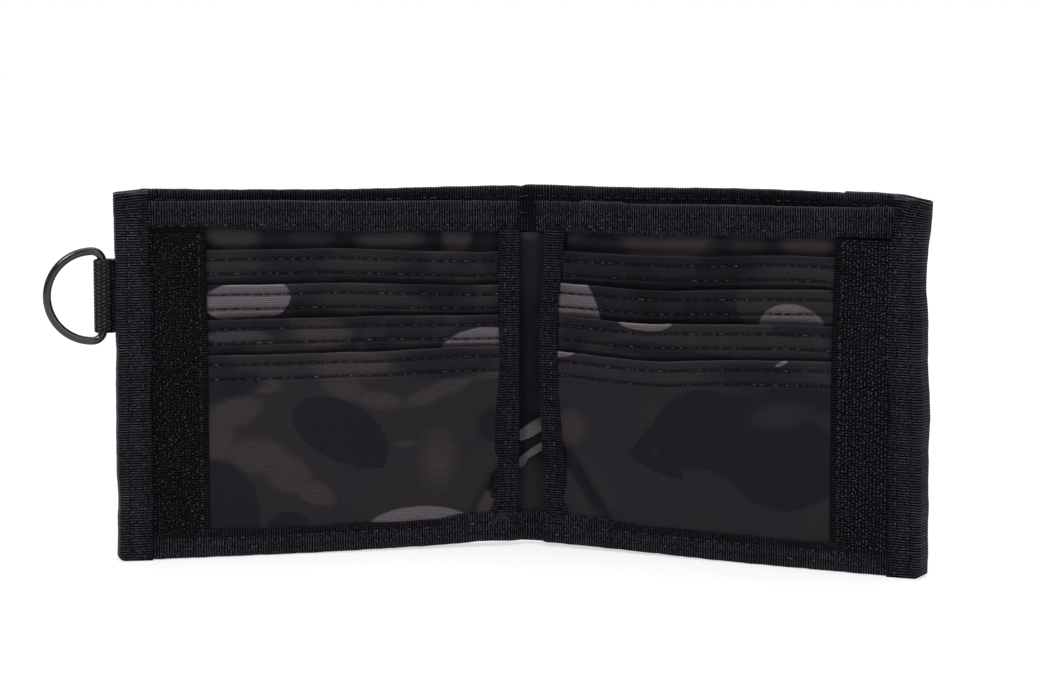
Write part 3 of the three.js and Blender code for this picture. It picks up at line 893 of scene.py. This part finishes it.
spineMarks = [("brown", 0.3, [(-1, 95, 3.2, 5, 0)]), ("light", 0.06, [(1.2, 34.5, 8, 1.9, 30)]),
              ("light", 0.08, [(1.5, 28.0, 7, 1.1, 34)]), ("light", 0.1, [(-2.4, 24.5, 2.2, 0.9, 60)]),
              ("mid", 0.3, [(0, 15, 5, 9, 0)])]  # both halves of the divider print these
inside = {  # and these show above the pockets
    -1: [("brown", 0.25, [(-87, 92, 7, 4.5, -10)]), ("mid", 0.25, [(-64, 92, 6, 4, 0)]),
         ("brown", 0.3, [(-42, 90.5, 9, 3.2, 0)]), ("brown", 0.25, [(-22, 91, 4.2, 5, 0)])],
    1: [("mid", 0.25, [(13, 92.5, 4.5, 3, 20)]), ("brown", 0.2, [(42, 91, 14, 7, 0)]),
        ("mid", 0.25, [(67, 91, 5, 5, 20)]), ("brown", 0.2, [(85, 92, 7.5, 6, 15)])],
}
shapes = {  # patches of the outer faces, about their own middles
    "leaf": [(-16, 1, 15.5, 10, 16), (-28, -2, 9.8, 4, 32), (-3, 1, 14, 11.4, 0), (11, -4, 16, 12.6, -8)],
    "drop": [(-4, 2.6, 14.6, 8.6, -27), (3, -2.5, 8, 6.2, -18), (9, -2.8, 2.6, 2.4, 30)],
    "branch": [(-14, 4, 9, 4.6, 12), (-4, 2, 8.5, 5.2, -30), (5, -4, 7, 4.6, -42), (14, -8, 9, 3.4, -8),
               (2, 8, 4, 6, 0)],
    "cap": [(0, 0, 13, 5.6, 0), (-8, -1.6, 8, 3.2, 10)],
}


def patch(shape, x, z, size=1.0, turn=0):
    # the shape scaled by size, turned, and moved to x, z
    c, s = size * math.cos(math.radians(turn)), size * math.sin(math.radians(turn))
    return [(x + c * a - s * b, z + s * a + c * b, size * rx, size * rz, lean + turn)
            for a, b, rx, rz, lean in shapes[shape]]


overSpine = [("brown", 0.15, patch("branch", -14, 36, 1.0, 70)),
             ("dark", 0.04, patch("drop", 7, 62, 1.1, 80)),
             ("dark", 0.04, patch("cap", 0, 10))]  # both halves print these, so they meet at the middle
outside = {
    -1: [("brown", 0.12, patch("branch", -98, 84, 1.2)), ("brown", 0.12, patch("branch", -40, 84, 1.1, 200)),
         ("brown", 0.15, patch("branch", -78, 36, 1.3, 20)),
         ("olive", 0.1, patch("drop", -58, 58, 1.5, 30)), ("dark", 0.035, patch("leaf", -82, 62, 0.72, 12)),
         ("dark", 0.035, patch("drop", -22, 86, 1.2, -10)), ("dark", 0.035, patch("leaf", -42, 20, 0.7, 168)),
         ("dark", 0.04, patch("drop", -106, 20, 1.2, 60)),
         ("light", 0.035, patch("cap", -34, 62, 0.8, 12)), ("light", 0.035, patch("cap", -84, 10, 1.0, -6))],
    1: [("brown", 0.12, patch("branch", 32, 82, 1.2, 10)), ("brown", 0.15, patch("branch", 88, 56, 1.2, -20)),
        ("brown", 0.12, patch("branch", 32, 30, 1.1, 40)), ("olive", 0.1, patch("drop", 64, 78, 1.3, 10)),
        ("dark", 0.035, patch("leaf", 58, 52, 0.75, 190)), ("dark", 0.035, patch("drop", 98, 86, 1.2, 0)),
        ("dark", 0.035, patch("leaf", 80, 20, 0.7, 8)), ("light", 0.035, patch("cap", 100, 36, 0.8, 12)),
        ("light", 0.035, patch("cap", 50, 96, 0.9, 0))],
}


def spineSwell(s, z):
    # the slack divider swells towards the card side over the spine, most just below its tape
    open = smooth(z, 9, 12) * (1 - smooth(z, 90.2, 91.6))
    return bump(s, 0, 2.3) * open * (0.6 + 0.6 * bump(z, 89, 4) + 0.15 * ripple(z, 81, 29))


# cut: the height of each laid flat; dividerLow: how far the divider stops above the foot
wall = {"shellThick": 0.6, "dividerThick": 0.4, "cut": (103.4, 100.0), "dividerLow": 1.8}


def makeWalls(side):
    # the outer shell and the divider: both run on over the spine
    label = sides[side]
    s = np.concatenate([np.linspace(-overlap, 12, 34)[:-1], np.linspace(12, clothS, 110)])
    foot, drop = footLine(side, s), wallet["clothDrop"]
    shellCloth = camoNylon("printed_oxford_nylon_" + label + "_shell", 5.5, ("mid", "mid", "plum"),
                           outside[side] + overSpine)
    slack = lambda a, z, d: (0.15 * ripple(a + 0.5 * z, 71, 43) * smooth(z, 8, 20) * smooth(a, 0, 5)
                             - seam(side, a))
    shell = clothPanel(label + "_shell_cloth", side, s, shellTop(side, s) - drop, foot + wallet["clothLow"],
                       lambda a, z: shellW - bow(a, z), wall["shellThick"], slack, shellCloth)
    dividerCloth = camoNylon("printed_oxford_nylon_" + label + "_divider", 9.3, ("black", "dark", "dark"),
                             inside[side] + spineMarks)
    pinched = lambda a, z: -0.85 * valley(side, a) * smooth(z, 89.5, 92)
    gap = lambda a, z: (z - hemHeight(side, 0, a)) + 50 * (1 - smooth(a, cardS - 2, cardS))
    # painted shade on the divider in the gap just over the first pocket's hem
    gapShade = lambda a, z, d: 1 - 0.6 * smooth(gap(a, z), -0.5, 0.1) * (1 - smooth(gap(a, z), 0.7, 2.2))
    divider = clothPanel(label + "_divider_cloth", side, s, dividerTop(side, s) - drop,
                         foot + wall["dividerLow"], lambda a, z: dividerW + 0 * a, wall["dividerThick"],
                         lambda a, z, d: spineSwell(a, z) + seam(side, a) + pinched(a, z),
                         dividerCloth, gapShade)
    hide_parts(label + "_shell", "spine_shell")
    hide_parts(label + "_divider", "spine_divider")
    foldWith(shell)
    foldWith(divider)
    return shell, divider


# hook and loop strips
strip = {"low": 7.1, "high": 93.4, "thick": 0.5, "selvage": {-1: 2.4, 1: 2.6},
         "loopEvery": 1.0, "hookS": 1.05, "hookZ": 1.1, "weftEvery": 4.3}


def makeStrip(side):
    label = "left_loop_strip" if side < 0 else "right_hook_strip"
    z = tapeStations(strip["low"], strip["high"])
    start = stripS[side]
    across = np.concatenate([np.linspace(start, start + 3.2, 13),
                             np.linspace(start + 3.2, tuckS + 1.5, 10)[1:]])
    wave = np.cos(2 * math.pi * z / tapeRib)[:, None]
    ribs = 0.05 * wave * (1 - smooth(across, start + 2, start + 3))
    front = stackFront(z)[:, None] - 0.55 * tuck(across)[None] + ribs
    front = front - 0.12 * bump(across, start + 1.2, 0.5)[None]
    front = front - 0.3 * bump(across, start, 0.25)[None]
    if side > 0:  # weft bands between the rows of hooks
        front = front + 0.12 * bump(np.mod(z + 1.0, strip["weftEvery"]), 2.1, 0.25)[:, None] * smooth(
            across, start + 2.4, start + 3)[None]
    sGrid = np.broadcast_to(across[None], front.shape)
    zGrid = np.broadcast_to(z[:, None], front.shape)
    ringS = np.concatenate([sGrid, sGrid[:, ::-1]], 1)
    ringZ = np.concatenate([zGrid, zGrid], 1)
    ringW = np.concatenate([front, front[:, ::-1] - strip["thick"]], 1)
    uv = np.stack([ringZ, ringS], -1) / 100
    base = addPiece(label + "_backing", place(side, ringS, ringZ, ringW), ringQuads(*ringS.shape), uv,
                    stripCloth, 1 + 0 * ringS)
    pile = makeLoops(side, label) if side < 0 else makeHooks(side, label)
    rows = [stitchRow(strip["low"], strip["high"], lambda a: start + strip["selvage"][side] - 0.3 + 0 * a,
                      lambda s, zAt: stackFront(zAt) - 0.02, alongZ=True)]
    thread = addStitches(label + "_stitches", side, rows)
    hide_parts(label)
    for piece in (base, pile, thread):
        rideHalf(piece, side)
    return base, pile, thread


def scatterGrid(side, stepS, stepZ, jitter):
    # rows of places, every second row moved half a step, each nudged at random
    startS = stripS[side] + strip["selvage"][side] + 0.2
    sAt = np.arange(startS, tuckS - 0.1, stepS)
    zAt = np.arange(strip["low"] + 0.4, strip["high"] - 0.3, stepZ)
    sAll, zAll = np.meshgrid(sAt, zAt, indexing="ij")
    zAll = zAll + (np.arange(len(sAt)) % 2)[:, None] * stepZ / 2
    nudge = rng.normal(0, jitter, (2,) + sAll.shape)
    return (sAll + nudge[0]).ravel(), (zAll + nudge[1]).ravel()


def thickenPath(path, radius, around):
    # path (copies, n, 3) with sideways and upward frames from its own tangent; round section
    tangent = np.gradient(path, axis=1)
    tangent /= np.linalg.norm(tangent, axis=-1, keepdims=True)
    helper = np.array([0.31, 0.22, 0.93]) + 0 * tangent
    sideways = np.cross(tangent, helper)
    sideways /= np.linalg.norm(sideways, axis=-1, keepdims=True)
    upward = np.cross(sideways, tangent)
    angle = np.arange(around) * 2 * math.pi / around
    ring = (sideways[:, :, None] * np.cos(angle)[:, None] + upward[:, :, None] * np.sin(angle)[:, None])
    return path[:, :, None] + radius * ring


def makeLoops(side, label):
    # loop pile: a bent arch of thread at each place, turned and leaning at random
    s, z = scatterGrid(side, strip["loopEvery"], strip["loopEvery"], 0.13)
    count = len(s)
    t = np.linspace(0, 1, 6)[None]
    turn = rng.uniform(0, math.pi, count)[:, None]
    span = rng.uniform(0.6, 1.05, count)[:, None]
    tall = rng.uniform(0.35, 0.72, count)[:, None]
    lean = rng.normal(0, 0.16, (2, count))[:, :, None]
    arch = np.sin(math.pi * t)
    reach = (t - 0.5) * span
    path = np.stack([s[:, None] + reach * np.cos(turn) + lean[0] * arch,
                     z[:, None] + reach * np.sin(turn) + lean[1] * arch,
                     stackFront(z)[:, None] - 0.12 + tall * arch], -1)
    tube = thickenPath(path, 0.19, 4)
    # painted highlight towards the top of each loop
    paintedLight = np.broadcast_to((arch * tall / 0.7)[..., None] ** 3, tube.shape[:-1])
    return addThreads(label + "_pile", side, tube, loopThread, paintedLight)


def makeHooks(side, label):
    # hook tape: a filament that rises and curls over, its opening turned up or down
    s, z = scatterGrid(side, strip["hookS"], strip["hookZ"], 0.08)
    count = len(s)
    t = np.linspace(0, 1, 7)[None]
    facing = np.where(rng.random(count) < 0.5, 1.0, -1.0)[:, None]
    size = rng.uniform(0.85, 1.1, count)[:, None]
    angle = np.clip((t - 0.3) / 0.7, 0, 1) * math.radians(205)
    radius = 0.2 * size
    forward = radius * (1 - np.cos(angle))
    rise = 0.36 * size * np.clip(t / 0.3, 0, 1) + radius * np.sin(angle)
    sway = rng.normal(0.5, 0.35, count)[:, None]
    path = np.stack([s[:, None] + forward * sway, z[:, None] + facing * forward,
                     stackFront(z)[:, None] - 0.1 + rise], -1)
    tube = thickenPath(path, 0.12, 4)
    # painted highlight on each hook's curl
    paintedLight = np.broadcast_to(smooth(rise, 0.3, 0.55)[..., None] ** 2, tube.shape[:-1])
    return addThreads(label + "_hooks", side, tube, hookThread, paintedLight)


# ring and its webbing loop
ring = {"height": 75.3, "barS": edgeS + 2.9, "barW": -5.9, "wire": 1.2, "radius": 12.8, "arm": 3.0,
        "corner": 3.0, "webWidth": 21.0, "webThick": 1.1, "tail": 8.0, "weave": 1.3, "sewn": (2.0, 6.5)}


def makeRing(side):
    # a D: straight bar, two arms with rounded corners and a half circle, wire of round section
    r, arm, corner = ring["radius"], ring["arm"], ring["corner"]
    straight = np.linspace(-1, 1, 30)[:, None] * np.array([[0, r - corner]])
    quarter = np.linspace(-math.pi / 2, 0, 10)[1:-1, None]
    top = np.array([[corner, r - corner]]) + corner * np.concatenate(
        [-np.cos(quarter + math.pi / 2), np.sin(quarter + math.pi / 2)], 1)
    halfTurn = np.linspace(math.pi / 2, -math.pi / 2, 70)[:, None]
    bowPart = np.concatenate([arm + r * np.cos(halfTurn), r * np.sin(halfTurn)], 1)
    line = np.concatenate([straight, top, bowPart, top[::-1] * np.array([[1, -1]])])
    step = np.roll(line, -1, 0) - np.roll(line, 1, 0)
    step /= np.linalg.norm(step, axis=1, keepdims=True)
    angle = np.arange(20) * 2 * math.pi / 20
    outward = np.stack([step[:, 1], -step[:, 0]], 1)
    offset = ring["wire"] * outward[:, None] * np.cos(angle)[None, :, None]
    s = ring["barS"] + line[:, None, 0] + offset[..., 0]
    z = ring["height"] + line[:, None, 1] + offset[..., 1]
    w = ring["barW"] + ring["wire"] * np.sin(angle)[None] + 0 * s
    length = np.concatenate([[0], np.cumsum(np.hypot(*np.diff(line, axis=0).T))])
    uv = np.stack(np.broadcast_arrays(length[:, None], angle[None]), -1) / 100
    piece = addPiece("d_ring_wire", place(side, s, z, w), ringQuads(*s.shape, closedPath=True), uv,
                     ringMetal)
    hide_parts("d_ring")
    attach(piece, "ring")


def makeTab(side):
    # webbing folded round the bar: two flat layers that open into a loop
    gapAt = lambda s: 0.6 + 1.45 * smooth(s, ring["barS"] - 5.0, ring["barS"] - 0.5)
    out = np.linspace(edgeS - ring["tail"], ring["barS"], 70)
    turn = np.linspace(math.pi / 2, -math.pi / 2, 26)[1:-1]
    big = gapAt(np.array(ring["barS"]))
    s = np.concatenate([out, ring["barS"] + big * np.cos(turn), out[::-1]])
    w = np.concatenate([gapAt(out), big * np.sin(turn), -gapAt(out[::-1])])
    length = np.concatenate([[0], np.cumsum(np.hypot(np.diff(s), np.diff(w)))])
    fineLength = np.linspace(0, length[-1], 160)
    s, w = np.interp(fineLength, length, s), np.interp(fineLength, length, w)
    ds, dw = np.gradient(s), np.gradient(w)
    size = np.hypot(ds, dw)
    normalS, normalW = -dw / size, ds / size
    across = np.linspace(-1, 1, 84)
    zAcross = across * ring["webWidth"] / 2
    column = fineLength / ring["weave"]
    slant = np.where(np.floor(column).astype(int) % 2 == 0, 0.5, -0.5) * (column % 1)
    wave = np.sin(math.pi * (column % 1))[:, None] ** 0.7 * (
        0.5 + 0.5 * np.cos(2 * math.pi * (zAcross[None] / 1.05 + slant[:, None])))
    half = ring["webThick"] / 2 * np.sqrt(1 - np.clip((np.abs(across) - 0.94) / 0.062, 0, 0.995) ** 2)[None]
    outer, inner = half + 0.16 * (wave - 0.5), -half - 0.1 * (wave - 0.5)
    offset = np.concatenate([outer, inner[:, ::-1]], 1)
    # painted highlight on the raised weave
    paintedLight = np.concatenate([wave, wave[:, ::-1]], 1) ** 2
    zRing = np.concatenate([np.broadcast_to(zAcross[None], outer.shape),
                            np.broadcast_to(zAcross[::-1][None], outer.shape)], 1)
    sRing = s[:, None] + normalS[:, None] * offset
    wRing = ring["barW"] + w[:, None] + normalW[:, None] * offset
    uv = np.stack([np.broadcast_to(fineLength[:, None], sRing.shape), zRing], -1) / 100
    piece = addPiece("ring_tab_webbing", place(side, sRing, ring["height"] + zRing, wRing),
                     ringQuads(*sRing.shape), uv, webbingCloth, paintedLight)
    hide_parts("ring_tab")
    rideHalf(piece, side)
    backFace = ring["barW"] - 0.6 - ring["webThick"] / 2
    rows = [stitchRow(ring["height"] - 9, ring["height"] + 9, lambda a: edgeS - at + 0 * a,
                      lambda s, z: backFace + 0 * s, alongZ=True, outward=-1.0) for at in ring["sewn"]]
    thread = addStitches("ring_tab_stitches", side, rows)
    rideHalf(thread, side)


for side in (-1, 1):
    walls = makeWalls(side)
    tapes = makeLongTapes(side) + makeUprightTapes(side)
    hems = [makePocket(side, index) for index in range(4)]
    fastener = makeStrip(side)
    print("half", side, "made")
makeRing(-1)
makeTab(-1)
print("ring made")
